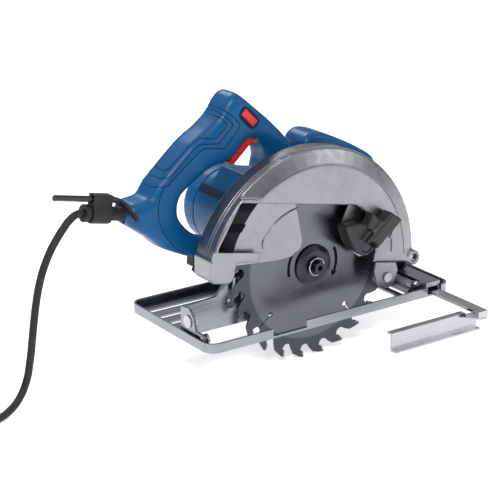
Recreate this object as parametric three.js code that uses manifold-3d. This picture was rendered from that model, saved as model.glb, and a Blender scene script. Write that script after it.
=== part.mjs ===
// A corded hand-held circular saw with a 184 mm blade: pressed base with a bevel frame,
// motor unit that pivots for depth, swinging lower guard, geared spindle, trigger and buttons.
// X points forward, Y towards the motor, Z up. Lengths are in millimetres.
import * as THREE from "three";
import { mergeVertices } from "three/addons/utils/BufferGeometryUtils.js";
import Module from "manifold-3d";

const wasm = await Module();
wasm.setup();

// ---- driving dimensions -------------------------------------------------------------
// Inside the model the blade's centre is the zero point; STAND_SHIFT then puts the
// origin under the middle of the object, level with the lowest tooth tip.
const GAP = 0.3;
const BLADE_RADIUS = 92;
const BLADE_HALF = 0.9;
const TOOTH_COUNT = 24;
const FIRST_TOOTH_DEG = -145.9;
const UNIT_PITCH_DEG = 11.5; // the motor unit stands nose-down at this depth of cut

const SOLE_BOTTOM = -46;
const SOLE_TOP = SOLE_BOTTOM + 2;
const LIP_TOP = -37;
const BASE = { rear: -141, front: 143, near: -37, far: 100, corner: 12, wall: 2 };
const WINDOW = { rear: -131, front: 88, near: -33, far: 28 };

const GUARD = { u: -8, w: -7, radius: 122, wall: 2.5, bottom: 7 };
const GUARD_Y = { face: -18, bevel: -12, back: 10 };
const LOWER_GUARD = { radius: 104, wall: 1.5, front: -11.5, back: 6 };
const WINDOW_ARC = 67;

const MOTOR = { u: -17.4, w: 25.5, radius: 40 };
const CASE_RADIUS = { spindle: 26, motor: 43 };
const BOSS_RADIUS = 18;
const LOCK_Y = 40.3;
const CASE_Y = { front: 10.3, back: 46 };
const HOUSING_Y = { front: 46.3, plate: 54, back: 124 };
const CAP_BACK = 150;

const CABLE_W = 35;
const KEY_W = CABLE_W + 13;
const HANDLE = { middle: 45, half: 17.5, bevel: 9, samples: 72 };
const TRIGGER_HALF = 13.5;
const BEVEL_AXIS = { y: -21, z: -37 };
const BEVEL_BOLT_REACH = 58;
const DEPTH_PIVOT = { u: 79.3, w: -8.4 };
const DEPTH_BOLT = { u: -81.3, w: -6.8 };
const ARC_RADIUS = 160.6;

const CORD_RADIUS = 3.5;
const FLOOR = -91.2;
const COIL = { x: -392, y: 60, middle: 38.5, turns: 3 };
const STAND_SHIFT = new THREE.Vector3(52.1, -21.5, -FLOOR);

// ---- materials ----------------------------------------------------------------------
const paint = (color, roughness, metalness) =>
  new THREE.MeshStandardMaterial({ color, roughness, metalness });
const BLUE = paint(0x0b4a86, 0.4, 0);
const RED = paint(0xd0201c, 0.4, 0);
const BLACK = paint(0x17191c, 0.55, 0);
const RUBBER = paint(0x101113, 0.8, 0);
const CAST = paint(0xb4b8bd, 0.45, 0.85);
const PRESSED = paint(0xa9adb2, 0.35, 0.9);
const STEEL = paint(0x8d9298, 0.3, 0.95);
const DARK_STEEL = paint(0x303338, 0.45, 0.8);
const COPPER = paint(0xb4693a, 0.35, 0.9);
const BRASS = paint(0xb9984e, 0.35, 0.9);

// ---- solids -------------------------------------------------------------------------
const radians = (degrees) => (degrees * Math.PI) / 180;

function solid(geometry) {
  const bare = geometry.index ? geometry.toNonIndexed() : geometry.clone();
  bare.deleteAttribute("normal");
  bare.deleteAttribute("uv");
  const merged = mergeVertices(bare, 1e-4);
  return new wasm.Manifold(
    new wasm.Mesh({
      numProp: 3,
      vertProperties: new Float32Array(merged.attributes.position.array),
      triVerts: new Uint32Array(merged.index.array),
    }),
  );
}

function join(first, ...others) {
  return others.reduce((whole, other) => whole.add(other), first);
}

function cut(first, ...others) {
  return others.reduce((whole, other) => whole.subtract(other), first);
}

function geometryOf(body) {
  const mesh = body.getMesh();
  const geometry = new THREE.BufferGeometry();
  geometry.setAttribute("position", new THREE.BufferAttribute(mesh.vertProperties, 3));
  geometry.setIndex(new THREE.BufferAttribute(mesh.triVerts, 1));
  geometry.computeVertexNormals();
  return geometry;
}

function box(x0, x1, y0, y1, z0, z1) {
  const geometry = new THREE.BoxGeometry(x1 - x0, y1 - y0, z1 - z0);
  return solid(geometry.translate((x0 + x1) / 2, (y0 + y1) / 2, (z0 + z1) / 2));
}

// A cylinder along Y, from y0 to y1, round the point (x, z).
function rodY(radius, y0, y1, x = 0, z = 0, sides = 20) {
  const geometry = new THREE.CylinderGeometry(radius, radius, y1 - y0, sides);
  return solid(geometry.translate(x, (y0 + y1) / 2, z));
}

function rodX(radius, x0, x1, y, z, sides = 16) {
  const geometry = new THREE.CylinderGeometry(radius, radius, x1 - x0, sides);
  return solid(geometry.rotateZ(-Math.PI / 2).translate((x0 + x1) / 2, y, z));
}

// The same along the motor unit's forward axis u, at (y, w).
const rodU = (radius, u0, u1, y, w) => rodX(radius, u0, u1, y, w, 20);

// A closed turned ring or disc about the Y axis; profile points are [radius, y].
function latheGeometry(profile, sides) {
  const points = profile.map(([radius, y]) => new THREE.Vector2(radius, y));
  const area = points.reduce((sum, point, k) => sum + point.cross(points[(k + 1) % points.length]), 0);
  if (area < 0) points.reverse();
  points.push(points[0].clone());
  return new THREE.LatheGeometry(points, sides);
}

function turned(profile, x = 0, z = 0, sides = 26) {
  return solid(latheGeometry(profile, sides).translate(x, 0, z));
}

// The same about an X line; profile points are [radius, distance behind x].
function turnedX(profile, x, y, z, sides = 20) {
  return solid(latheGeometry(profile, sides).rotateZ(Math.PI / 2).translate(x, y, z));
}

function shapeOf(points) {
  return new THREE.Shape(points.map(([x, z]) => new THREE.Vector2(x, z)));
}

// A plate whose outline lies in the XZ plane and which fills y0 to y1. With a bevel its
// edges are rounded inwards.
function slab(shape, y0, y1, bevel = 0, rounds = 3) {
  const geometry = new THREE.ExtrudeGeometry(shape, {
    depth: y1 - y0 - 2 * bevel,
    bevelEnabled: bevel > 0,
    bevelThickness: bevel,
    bevelSize: bevel,
    bevelOffset: -bevel,
    bevelSegments: rounds,
    curveSegments: 12,
  });
  return solid(geometry.rotateX(Math.PI / 2).translate(0, y1 - bevel, 0));
}

// A plate whose outline is given as [y, z] points and which fills x0 to x1.
function wallX(points, x0, x1) {
  const geometry = new THREE.ExtrudeGeometry(shapeOf(points), {
    depth: x1 - x0,
    bevelEnabled: false,
    curveSegments: 16,
  });
  const turn = new THREE.Matrix4().set(0, 0, 1, x0, 1, 0, 0, 0, 0, 1, 0, 0, 0, 0, 0, 1);
  return solid(geometry.applyMatrix4(turn));
}

// A flat plate with a round-cornered outline in plan, from z0 to z1.
function roundedPlan(x0, x1, y0, y1, corner, z0, z1) {
  const shape = new THREE.Shape();
  shape.absarc(x1 - corner, y1 - corner, corner, 0, Math.PI / 2);
  shape.absarc(x0 + corner, y1 - corner, corner, Math.PI / 2, Math.PI);
  shape.absarc(x0 + corner, y0 + corner, corner, Math.PI, 1.5 * Math.PI);
  shape.absarc(x1 - corner, y0 + corner, corner, 1.5 * Math.PI, 2 * Math.PI);
  const geometry = new THREE.ExtrudeGeometry(shape, {
    depth: z1 - z0,
    bevelEnabled: false,
    curveSegments: 6,
  });
  return solid(geometry.translate(0, 0, z0));
}

// A band between two radii about (x, z), from one angle to another.
function ringSector(inner, outer, fromDeg, toDeg, x = 0, z = 0) {
  const shape = new THREE.Shape();
  shape.absarc(x, z, outer, radians(fromDeg), radians(toDeg));
  shape.absarc(x, z, inner, radians(toDeg), radians(fromDeg), true);
  return shape;
}

// A closed smooth outline through the points.
function smoothShape(points, samples) {
  const curve = new THREE.CatmullRomCurve3(
    points.map(([x, z]) => new THREE.Vector3(x, z, 0)),
    true,
    "centripetal",
  );
  return new THREE.Shape(
    curve.getPoints(samples).slice(0, -1).map((p) => new THREE.Vector2(p.x, p.y)),
  );
}

const whole = new THREE.Group();
const saw = new THREE.Group();
const unit = new THREE.Group();
whole.position.copy(STAND_SHIFT);
unit.rotation.y = radians(UNIT_PITCH_DEG);
whole.add(saw);
saw.add(unit);

function place(group, name, body, material) {
  const mesh = new THREE.Mesh(geometryOf(body), material);
  mesh.name = name;
  group.add(mesh);
}

// ---- base ---------------------------------------------------------------------------
function basePlate() {
  const { rear, front, near, far, corner, wall } = BASE;
  const outer = roundedPlan(rear, front, near, far, corner, SOLE_BOTTOM, LIP_TOP);
  const hollow = roundedPlan(
    rear + wall, front - wall, near + wall, far - wall, corner - wall, SOLE_TOP, 0,
  );
  const notch = box(-71, -33, near - 1, near + 4, SOLE_TOP, 0);
  const window = roundedPlan(
    WINDOW.rear, WINDOW.front, WINDOW.near, WINDOW.far, 6, SOLE_BOTTOM - 1, 0,
  );
  const slots = [[81, -50], [63, -50], [45, -50]].map(([y, end]) =>
    roundedPlan(-131, end, y - 3, y + 3, 2.9, SOLE_BOTTOM - 1, SOLE_TOP + 1),
  );
  const frontSlot = roundedPlan(95, 101, -33, 5, 2.9, SOLE_BOTTOM - 1, SOLE_TOP + 1);
  const guideGates = [near, far].map((y) => box(113, 130, y - 3, y + 3, SOLE_TOP, 0));
  return cut(outer, hollow, notch, window, frontSlot, ...guideGates, ...slots);
}

// The tunnel that holds the guide bar, across the front of the base.
function guideTunnel() {
  const arch = wallX([[-34.4, SOLE_TOP + GAP], [97, SOLE_TOP + GAP], [97, -33], [-34.4, -33]], 113, 130);
  const bore = box(115.2, 127.8, -40, 101, SOLE_TOP - 1, -37.5);
  const pinHole = rodX(3.3, 112, 115.2, BEVEL_AXIS.y, BEVEL_AXIS.z);
  const screwHole = rodZ(3.3, -38, -32, 121.5, 20);
  return cut(arch, bore, pinHole, screwHole);
}

function rodZ(radius, z0, z1, x, y, sides = 20) {
  const geometry = new THREE.CylinderGeometry(radius, radius, z1 - z0, sides);
  return solid(geometry.rotateX(Math.PI / 2).translate(x, y, (z0 + z1) / 2));
}

// A quadrant plate with its arc slot, round the bevel axis.
function frontQuadrant() {
  const band = (reach, fromDeg, toDeg) => {
    const shape = ringSector(
      BEVEL_BOLT_REACH - reach, BEVEL_BOLT_REACH + reach, fromDeg, toDeg, BEVEL_AXIS.y, BEVEL_AXIS.z,
    );
    return shape.extractPoints(10).shape.map((point) => [point.x, point.y]);
  };
  const standing = SOLE_TOP + GAP;
  const plate = wallX(band(8, -5, 51), 106, 108.4);
  const foot = wallX([[28, standing], [46, standing], [46, -34], [28, -34]], 106, 108.4);
  const slot = wallX(band(3.8, -4, 48), 105, 109);
  const trim = box(100, 120, -60, 80, -60, standing);
  return cut(join(plate, foot), slot, trim);
}

place(saw, "base_plate", basePlate(), PRESSED);
place(saw, "guide_tunnel", guideTunnel(), PRESSED);
place(saw, "front_quadrant", frontQuadrant(), PRESSED);

// ---- bevel frame --------------------------------------------------------------------
const unitToSaw = (u, w) => {
  const pitch = radians(UNIT_PITCH_DEG);
  return [u * Math.cos(pitch) + w * Math.sin(pitch), w * Math.cos(pitch) - u * Math.sin(pitch)];
};
const [PIVOT_X, PIVOT_Z] = unitToSaw(DEPTH_PIVOT.u, DEPTH_PIVOT.w);
const [BOLT_X, BOLT_Z] = unitToSaw(DEPTH_BOLT.u, DEPTH_BOLT.w);

function bevelFrame() {
  const bottom = -43.5;
  const bar = box(-128, 86, 12, 26.5, bottom - 2.2, bottom);
  const rearPlate = slab(
    shapeOf([
      [-137.6, bottom], [-60, bottom - 1], [-68, -36], [-73, -22], [-73, 0], [-90, 0], [-100, -14],
      [-133, -16], [-137.6, -19],
    ]),
    12, 15,
  );
  const frontPlate = slab(
    shapeOf([[56, bottom - 1], [105.5, bottom], [105.5, -33], [90, -29], [86, -14], [67, -14], [64, -30]]),
    12, 15,
  );
  const arm = slab(ringSector(ARC_RADIUS - 9, ARC_RADIUS + 9, 138, 183, PIVOT_X, PIVOT_Z), 12, 15);
  const slot = slab(
    ringSector(ARC_RADIUS - 3.6, ARC_RADIUS + 3.6, 140.5, 181.6, PIVOT_X, PIVOT_Z), 11, 16,
  );
  const rearEar = wallX(
    [
      [-20, bottom], [15, bottom], [15, -16], [2, -14], [-6, -22], [-9, -33], [-25, -33], [-25, -38],
    ],
    -137.6, -135.2,
  );
  const boltY = BEVEL_AXIS.y + BEVEL_BOLT_REACH;
  const frontBar = wallX(
    [[-20, bottom], [boltY + 6, bottom], [boltY + 6, -32], [-25, -32], [-25, -38]], 101.5, 105.5,
  );
  const pivotHole = rodY(4.3, 11, 16, PIVOT_X, PIVOT_Z);
  const pinHoles = rodX(3.3, -139, 109, BEVEL_AXIS.y, BEVEL_AXIS.z);
  const boltHole = rodX(3.3, 100, 109, boltY, BEVEL_AXIS.z);
  const earHole = rodX(4.3, -139, -130, 3, -27);
  return cut(
    join(bar, rearPlate, frontPlate, arm, rearEar, frontBar),
    slot, pivotHole, pinHoles, boltHole, earHole,
  );
}

place(saw, "bevel_frame", bevelFrame(), PRESSED);
place(saw, "front_bevel_pin", rodX(3, 101.5, 114.9, BEVEL_AXIS.y, BEVEL_AXIS.z), STEEL);
place(
  saw, "rear_bevel_pin",
  join(
    rodX(3, -138.6, -134, BEVEL_AXIS.y, BEVEL_AXIS.z), rodX(5, -134.9, -132.6, BEVEL_AXIS.y, BEVEL_AXIS.z),
  ),
  STEEL,
);
place(
  saw, "rear_ear_bolt",
  join(rodX(4, -138, -133, 3, -27), rodX(7.5, -134.9, -132.3, 3, -27), rodX(6, -138.7, -137.9, 3, -27)),
  STEEL,
);

const LOCK_BOLT_Y = BEVEL_AXIS.y + BEVEL_BOLT_REACH;
place(
  saw, "bevel_lock_bolt",
  join(
    rodX(3, 99, 112.7, LOCK_BOLT_Y, BEVEL_AXIS.z), rodX(6.3, 97.5, 101.2, LOCK_BOLT_Y, BEVEL_AXIS.z, 6),
  ),
  STEEL,
);

function bevelLever() {
  const z = BEVEL_AXIS.z;
  const hub = rodX(6.4, 108.8, 112.3, LOCK_BOLT_Y, z);
  const arm = wallX(
    [[LOCK_BOLT_Y - 5, z], [LOCK_BOLT_Y + 5, z], [LOCK_BOLT_Y + 22, z + 26], [LOCK_BOLT_Y + 14, z + 29]],
    108.8, 112.3,
  );
  return cut(join(hub, arm), rodX(3.3, 105, 120, LOCK_BOLT_Y, z));
}
place(saw, "bevel_lock_lever", bevelLever(), BLACK);

// ---- parallel guide -----------------------------------------------------------------
function guideBar() {
  const bar = box(115.6, 127.4, -104, 92, -43.4, -40.4);
  const tab = box(115.6, 127.4, -107, -104, -47, -40.4);
  return join(bar, tab);
}

function guideFence() {
  const left = 24;
  const right = 128;
  const web = box(left, right, -91, -89, -62, -47.4);
  const topLip = box(left, right - 14, -91, -84, -47.4, -45.6);
  const flange = box(left, right, -97, -91, -63.6, -62);
  const webFoot = box(left, right, -91, -89, -63.6, -61);
  const gusset = slabPlan([[104, -90], [127.4, -90], [127.4, -106.6], [120, -106.6]], -49.2, -47.6);
  return join(web, topLip, flange, webFoot, gusset);
}

function slabPlan(points, z0, z1) {
  const geometry = new THREE.ExtrudeGeometry(shapeOf(points), { depth: z1 - z0, bevelEnabled: false });
  return solid(geometry.translate(0, 0, z0));
}

place(saw, "guide_bar", guideBar(), STEEL);
place(saw, "guide_fence", guideFence(), PRESSED);

function wingScrew(x, y) {
  const shank = rodZ(3, -40.1, -32.7, x, y);
  const head = rodZ(7, -32.7, -26, x, y);
  const wings = box(x - 1.8, x + 1.8, y - 13, y + 13, -31, -20);
  return join(shank, head, wings);
}
place(saw, "guide_wing_screw", wingScrew(121.5, 20), BLACK);

// ---- upper guard and gear case ------------------------------------------------------
// The gear case's outline: two circles, round the spindle and the motor, and their tangents.
function caseShape(grow) {
  const small = CASE_RADIUS.spindle + grow;
  const large = CASE_RADIUS.motor + grow;
  const towards = Math.atan2(MOTOR.w, MOTOR.u);
  const lean = Math.acos((small - large) / Math.hypot(MOTOR.u, MOTOR.w));
  const shape = new THREE.Shape();
  shape.absarc(0, 0, small, towards + lean, towards - lean + 2 * Math.PI);
  shape.absarc(MOTOR.u, MOTOR.w, large, towards - lean, towards + lean);
  return shape;
}

function upperGuard() {
  const { u, w, radius, wall, bottom } = GUARD;
  const { face, bevel, back } = GUARD_Y;
  const flat = radius - 15;
  const shell = turned(
    [
      [0.01, back], [radius, back], [radius, bevel], [flat, face], [0.01, face],
      [0.01, face + wall], [flat - 1, face + wall], [radius - wall, bevel + 1.5],
      [radius - wall, back - wall], [0.01, back - wall],
    ],
    u, w, 64,
  );
  const corner = turned(
    [
      [0.01, back], [radius, back], [radius, face], [0.01, face], [0.01, face + wall],
      [radius - wall, face + wall], [radius - wall, back - wall], [0.01, back - wall],
    ],
    u, w, 64,
  ).intersect(box(-140, -75, -30, 20, bottom, 66));
  const keep = box(-140, 140, -30, 20, bottom, 140);
  const opening = new THREE.Shape();
  opening.moveTo(-106.9, 62);
  opening.lineTo(-124, 16.5);
  opening.lineTo(-76, 16.5);
  opening.lineTo(-76, 0);
  opening.lineTo(59.8, 0);
  opening.absarc(0, 0, WINDOW_ARC, radians(26.8), radians(67.7));
  const windowCut = slab(opening, face - 1, bevel + 2);
  const rearWall = slab(caseShape(0), back - wall, back);
  const pivotTab = slab(
    shapeOf([[60, 12], [100, 12], [92, -18], [70, -18]]), back - wall, back,
  );
  const block = slab(
    shapeOf([[-130, 8], [-127, -9], [-123, -13], [-108.5, -13], [-108.5, 8]]), face, back,
  );
  const blockFace = slab(
    shapeOf([[-130, 8], [-127, -9], [-123, -13], [-105, -13], [-101, -8], [-101, 8]]), face, -14.4,
  );
  const lug = rodY(7.5, -17.5, -9, 111.5, 11);
  const lugFoot = slab(shapeOf([[100, 7], [111.5, 3.5], [116, 6], [116, 14], [104, 18]]), -17.5, -9);
  const boltBoss = slab(shapeOf([[-109, 8], [-109, -13], [-72, -16], [-66, 8]]), back - wall, 11.6);
  const boltPocket = rodY(7.2, back - wall - 1, 10, DEPTH_BOLT.u, DEPTH_BOLT.w, 4);
  const bossHole = rodY(BOSS_RADIUS + 1.5, back - wall - 1, back + 1);
  const lugHole = rodY(3.8, -20, 0, 111.5, 11);
  const pivotHole = rodY(4.3, 0, 20, DEPTH_PIVOT.u, DEPTH_PIVOT.w);
  const boltHole = rodY(3.3, 0, 20, DEPTH_BOLT.u, DEPTH_BOLT.w);
  const cover = cut(join(shell, corner).intersect(keep), windowCut);
  return cut(
    join(cover, rearWall, pivotTab, block, blockFace, boltBoss, lug, lugFoot),
    bossHole, lugHole, pivotHole, boltHole, boltPocket,
  );
}

function gearCase() {
  const body = slab(caseShape(0), CASE_Y.front, CASE_Y.back);
  const boss = rodY(BOSS_RADIUS, 4.6, CASE_Y.front + 1);
  const gearRoom = rodY(24, 22, CASE_Y.back + 1, 0, 0, 32);
  const motorRoom = rodY(34, 22, CASE_Y.back + 1, MOTOR.u, MOTOR.w, 32);
  const bearingSeat = rodY(13.3, 9, 23);
  const shaftHole = rodY(9, 3, 10);
  const lockHole = rodU(3.4, 20, 32, LOCK_Y, 0);
  return cut(join(body, boss), gearRoom, motorRoom, bearingSeat, shaftHole, lockHole);
}

place(unit, "upper_guard", upperGuard(), CAST);
place(unit, "gear_case", gearCase(), CAST);
place(
  unit, "depth_pivot_pin",
  join(rodY(4, 5.5, 17.5, DEPTH_PIVOT.u, DEPTH_PIVOT.w), rodY(7, 15.3, 18, DEPTH_PIVOT.u, DEPTH_PIVOT.w)),
  STEEL,
);
place(
  unit, "depth_bolt",
  join(rodY(3, 8, 22, DEPTH_BOLT.u, DEPTH_BOLT.w), rodY(6.5, 6.4, 9.7, DEPTH_BOLT.u, DEPTH_BOLT.w, 4)),
  DARK_STEEL,
);

// The folded bracket under the front of the guard, with its rivet.
function guardBracket() {
  const plate = slab(
    shapeOf([[63, 6.7], [88, 6.7], [92, -0.6], [90, -14.6], [82, -19.6], [70, -16.6], [63, -2.6]]),
    -18, -15.8,
  );
  return cut(plate, rodY(3.3, -30, 0, 80, -7.6));
}
place(unit, "guard_bracket", guardBracket(), CAST);
place(
  unit, "bracket_rivet",
  join(rodY(3, -18.6, -15.2, 80, -7.6), rodY(4.6, -20, -18.3, 80, -7.6), rodY(4.6, -15.5, -14.6, 80, -7.6)),
  STEEL,
);

// ---- lower guard --------------------------------------------------------------------
const LEVER_SCREW = { u: 41, w: 25.4 };

function lowerGuard() {
  const { radius, wall, front, back } = LOWER_GUARD;
  const rim = slab(ringSector(radius - wall, radius, 12, 179), front, back);
  const face = new THREE.Shape();
  face.absarc(0, 0, radius, radians(12), radians(179));
  [[-52, 7.5], [-36, 11], [-27, 19], [-26, 26], [-31, 38], [-41, 60]].forEach(([x, z]) => face.lineTo(x, z));
  face.absarc(0, 0, 76, radians(124), radians(72), true);
  [[21, 60], [15.7, 38], [22, 26.8], [34.6, 16.9], [46, 11]].forEach(([x, z]) => face.lineTo(x, z));
  const frontWall = slab(face, front, front + wall);
  const backWall = slab(ringSector(30, radius, 12, 179), back - wall, back);
  const screwHole = rodY(3.3, front - 5, front + 5, LEVER_SCREW.u, LEVER_SCREW.w);
  const hub = BOSS_RADIUS + GAP;
  const ring = turned([[hub, back - wall], [34, back - wall], [34, back], [hub, back]], 0, 0, 40);
  return cut(join(rim, frontWall, backWall, ring), screwHole);
}

function retractLever() {
  const hub = slab(
    shapeOf([[11, 43.7], [17.5, 33.3], [28, 20], [39, 15], [50, 20], [50, 32], [40, 43], [30, 47]]),
    -26, -11.8,
  );
  const bar = slab(shapeOf([[34, 30], [48, 24], [73, 53], [58, 60]]), -34, -18.6, 1.5, 1);
  const step = slab(shapeOf([[34, 44], [46, 38], [52, 50], [38, 58]]), -30, -18.6);
  const counterbore = rodY(6.2, -40, -22, LEVER_SCREW.u, LEVER_SCREW.w);
  const hole = rodY(3.3, -30, -10, LEVER_SCREW.u, LEVER_SCREW.w);
  return cut(join(hub, bar, step), counterbore, hole);
}

place(unit, "lower_guard", lowerGuard(), CAST);
place(unit, "retract_lever", retractLever(), BLACK);
place(
  unit, "lever_screw",
  join(rodY(5.8, -25, -22.3, LEVER_SCREW.u, LEVER_SCREW.w), rodY(3, -22.5, -8, LEVER_SCREW.u, LEVER_SCREW.w)),
  DARK_STEEL,
);

// ---- spindle and blade --------------------------------------------------------------
function sawBlade() {
  // Each point of a tooth: its depth below the blade's radius, and its angle from the tip.
  const tooth = [
    [0, 0], [8, -1.6], [11.8, -0.6], [13.2, 1.6], [12.4, 3.9], [8, 6], [3.4, 8.6], [1.2, 12.6],
  ];
  const points = [];
  for (let k = 0; k < TOOTH_COUNT; k += 1) {
    tooth.forEach(([depth, ahead]) => {
      const radius = BLADE_RADIUS - depth;
      const angle = radians(FIRST_TOOTH_DEG + (k * 360) / TOOTH_COUNT + ahead);
      points.push([radius * Math.cos(angle), radius * Math.sin(angle)]);
    });
  }
  const disc = slab(shapeOf(points), -BLADE_HALF, BLADE_HALF);
  const slots = [0, 90, 180, 270].map((turn) => {
    const slit = new THREE.BoxGeometry(20, 8, 1.2).translate(72, 0, 0);
    const end = new THREE.CylinderGeometry(2.4, 2.4, 8, 14).translate(62, 0, 0);
    const angle = -radians(FIRST_TOOTH_DEG + 16.6 + turn);
    return join(solid(slit.rotateY(angle)), solid(end.rotateY(angle)));
  });
  return cut(disc, ...slots, rodY(8.1, -5, 5));
}

function hexHead(radius, socket, y0, y1) {
  return cut(rodY(radius, y0, y1, 0, 0, 6), rodY(socket, y0 - 1, y0 + 5, 0, 0, 6));
}

// A ring about the blade's axis: the bore, and the points of its outside from front to back.
function flange(bore, profile) {
  const [first, last] = [profile[0][1], profile[profile.length - 1][1]];
  return turned([[bore, first], ...profile, [bore, last]]);
}

function bladeBolt() {
  const washer = cut(rodY(9, -7.3, -5.3), rodY(3, -14, -8));
  return join(hexHead(6.4, 3, -13, -7.3), washer, rodY(4, -5.5, -1));
}

place(unit, "saw_blade", sawBlade(), STEEL);
place(unit, "outer_flange", flange(4.3, [[20, -1.2], [20, -3], [15, -5]]), DARK_STEEL);
place(unit, "blade_bolt", bladeBolt(), DARK_STEEL);
place(unit, "inner_flange", flange(8.3, [[20, 1.2], [20, 4.2]]), DARK_STEEL);
place(
  unit, "spindle_shaft",
  join(rodY(7.8, -0.7, 4.4), rodY(6.7, 4.2, 8.7), rodY(4.7, 8.5, 52.5)),
  STEEL,
);

const GEAR = { teeth: 37, tip: 23.1, root: 21.2, front: 27, back: 36 };
const PINION = { teeth: 12, tip: 7.4, root: 5.9 };

function toothedWheel(wheel, bore, x, z, front, back) {
  const points = [];
  for (let k = 0; k < wheel.teeth; k += 1) {
    const tooth = [[wheel.root, 0], [wheel.root, 0.32], [wheel.tip, 0.44], [wheel.tip, 0.7]];
    tooth.forEach(([radius, part]) => {
      const angle = (2 * Math.PI * (k + part)) / wheel.teeth;
      points.push([x + radius * Math.cos(angle), z + radius * Math.sin(angle)]);
    });
  }
  return cut(slab(shapeOf(points), front, back), rodY(bore, front - 1, back + 1, x, z));
}

function ringAt(inner, outer, y0, y1, x, z) {
  return turned([[inner, y0], [outer, y0], [outer, y1], [inner, y1]], x, z, 22);
}

place(unit, "drive_gear", toothedWheel(GEAR, 5, 0, 0, GEAR.front, GEAR.back), STEEL);
place(unit, "spindle_bearing_front", ringAt(5, 13, 9.3, 17, 0, 0), STEEL);
place(unit, "spindle_bearing_rear", ringAt(5, 11, 47, 53, 0, 0), STEEL);

// ---- motor --------------------------------------------------------------------------
place(
  unit, "armature_shaft",
  join(
    slab(shapeOf(pinionPoints()), 26, 37), rodY(4.2, 36.5, 132, MOTOR.u, MOTOR.w),
  ),
  STEEL,
);

function pinionPoints() {
  const points = [];
  for (let k = 0; k < PINION.teeth; k += 1) {
    const tooth = [[PINION.root, 0], [PINION.root, 0.3], [PINION.tip, 0.45], [PINION.tip, 0.75]];
    tooth.forEach(([radius, part]) => {
      const angle = (2 * Math.PI * (k + part)) / PINION.teeth;
      points.push([MOTOR.u + radius * Math.cos(angle), MOTOR.w + radius * Math.sin(angle)]);
    });
  }
  return points;
}

place(unit, "armature_bearing_front", ringAt(4.5, 11, 47, 53, MOTOR.u, MOTOR.w), STEEL);
place(unit, "armature_bearing_rear", ringAt(4.5, 9.5, 126, 131.5, MOTOR.u, MOTOR.w), STEEL);
place(unit, "armature_core", ringAt(4.5, 22.5, 76, 106, MOTOR.u, MOTOR.w), COPPER);
place(unit, "commutator", ringAt(4.5, 13, 109, 119, MOTOR.u, MOTOR.w), BRASS);

function coolingFan() {
  const plate = ringAt(4.5, 32, 58, 60, MOTOR.u, MOTOR.w);
  const blades = [];
  for (let k = 0; k < 10; k += 1) {
    const blade = new THREE.BoxGeometry(14, 8.2, 1.4).translate(24, 63.9, 0);
    blades.push(solid(blade.rotateY((k * Math.PI) / 5).translate(MOTOR.u, 0, MOTOR.w)));
  }
  return join(plate, ...blades);
}
place(unit, "cooling_fan", coolingFan(), BLACK);
place(unit, "stator", ringAt(24, 35.2, 74, 108, MOTOR.u, MOTOR.w), DARK_STEEL);

// The flat-topped rib over the motor, which the handle and grip sit on.
function topOutline(grow) {
  const { u, w } = MOTOR;
  const crest = w + 44 + grow;
  return shapeOf([
    [u - 34 - grow, w + 20 - grow], [u - 26 - grow, crest], [u + 22 + grow, crest],
    [u + 30 + grow, w + 20 - grow],
  ]);
}

function motorHousing() {
  const plate = slab(caseShape(0), HOUSING_Y.front, HOUSING_Y.plate);
  const { u, w, radius } = MOTOR;
  const barrel = rodY(radius, HOUSING_Y.plate - 1, HOUSING_Y.back, u, w, 48);
  const top = slab(topOutline(0), HOUSING_Y.front, 112, 4, 2);
  const bore = rodY(35.5, HOUSING_Y.plate + 1.5, HOUSING_Y.back + 1, u, w, 48);
  const seats = [rodY(11.3, 40, 53.3), rodY(11.3, 40, 53.3, u, w), rodY(6, 40, 60, u, w)];
  const brushHoles = [-1, 1].map((side) => rodZ(5.3, w + side * 38 - 6, w + side * 38 + 6, u, 114));
  return cut(join(plate, barrel, top), bore, ...seats, ...brushHoles);
}

function brushHolder(side) {
  const middle = MOTOR.w + side * 27.5;
  return rodZ(4.9, middle - 13, middle + 13, MOTOR.u, 114);
}

function endCap() {
  const { u, w, radius } = MOTOR;
  const front = HOUSING_Y.back + GAP;
  const body = turned(
    [
      [0.01, 132], [9.8, 132], [9.8, front + 1], [13, front + 1], [13, 136], [35.5, 136], [35.5, front],
      [radius, front], [radius, CAP_BACK - 10], [radius - 4, CAP_BACK - 3], [radius - 11, CAP_BACK],
      [0.01, CAP_BACK],
    ],
    u, w, 32,
  );
  const vents = [];
  for (let k = -2; k <= 2; k += 1) {
    vents.push(box(u - 20, u + 20, 133, CAP_BACK + 2, w + k * 10 - 2, w + k * 10 + 2));
  }
  const keepCentre = rodY(14, 131, CAP_BACK - 4, u, w);
  return join(cut(body, ...vents), cut(keepCentre, rodY(9.8, 120, 132.3, u, w)));
}

place(unit, "motor_housing", motorHousing(), BLUE);
place(unit, "brush_holder_upper", brushHolder(1), BRASS);
place(unit, "brush_holder_lower", brushHolder(-1), BRASS);
place(unit, "motor_end_cap", endCap(), BLUE);

// ---- handle -------------------------------------------------------------------------
const HANDLE_OUTLINE = [
  [-96, 152.4], [-88, 149.5], [-70, 139.6], [-47.4, 126.6], [-18.7, 105.8], [-3, 88], [2, 62], [-20, 56],
  [-44, 64], [-51, 78], [-50.5, 92], [-56, 102.5], [-66, 109.5], [-76, 107.5], [-83, 97.5], [-90, 87.5],
  [-101, 85], [-110, 81.5], [-120.5, 73], [-130, 64], [-138, 55], [-139.5, 46], [-137, 36],
  [-130, 28.5], [-119, 21], [-107, 16], [-92, 13.5], [-70, 12], [-56, -6], [-74, -14], [-92, -8],
  [-104, -5.4], [-123.5, -1.2], [-137.5, 2.3], [-151, 6.4], [-164, 15], [-188, 25.5], [-193, 36],
  [-188, 46.5], [-177, 49.5], [-171, 53], [-168, 62], [-160.4, 72.5], [-149.5, 87.2], [-137, 102.6],
  [-116, 122.8], [-109, 133], [-104, 145.5],
];

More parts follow.
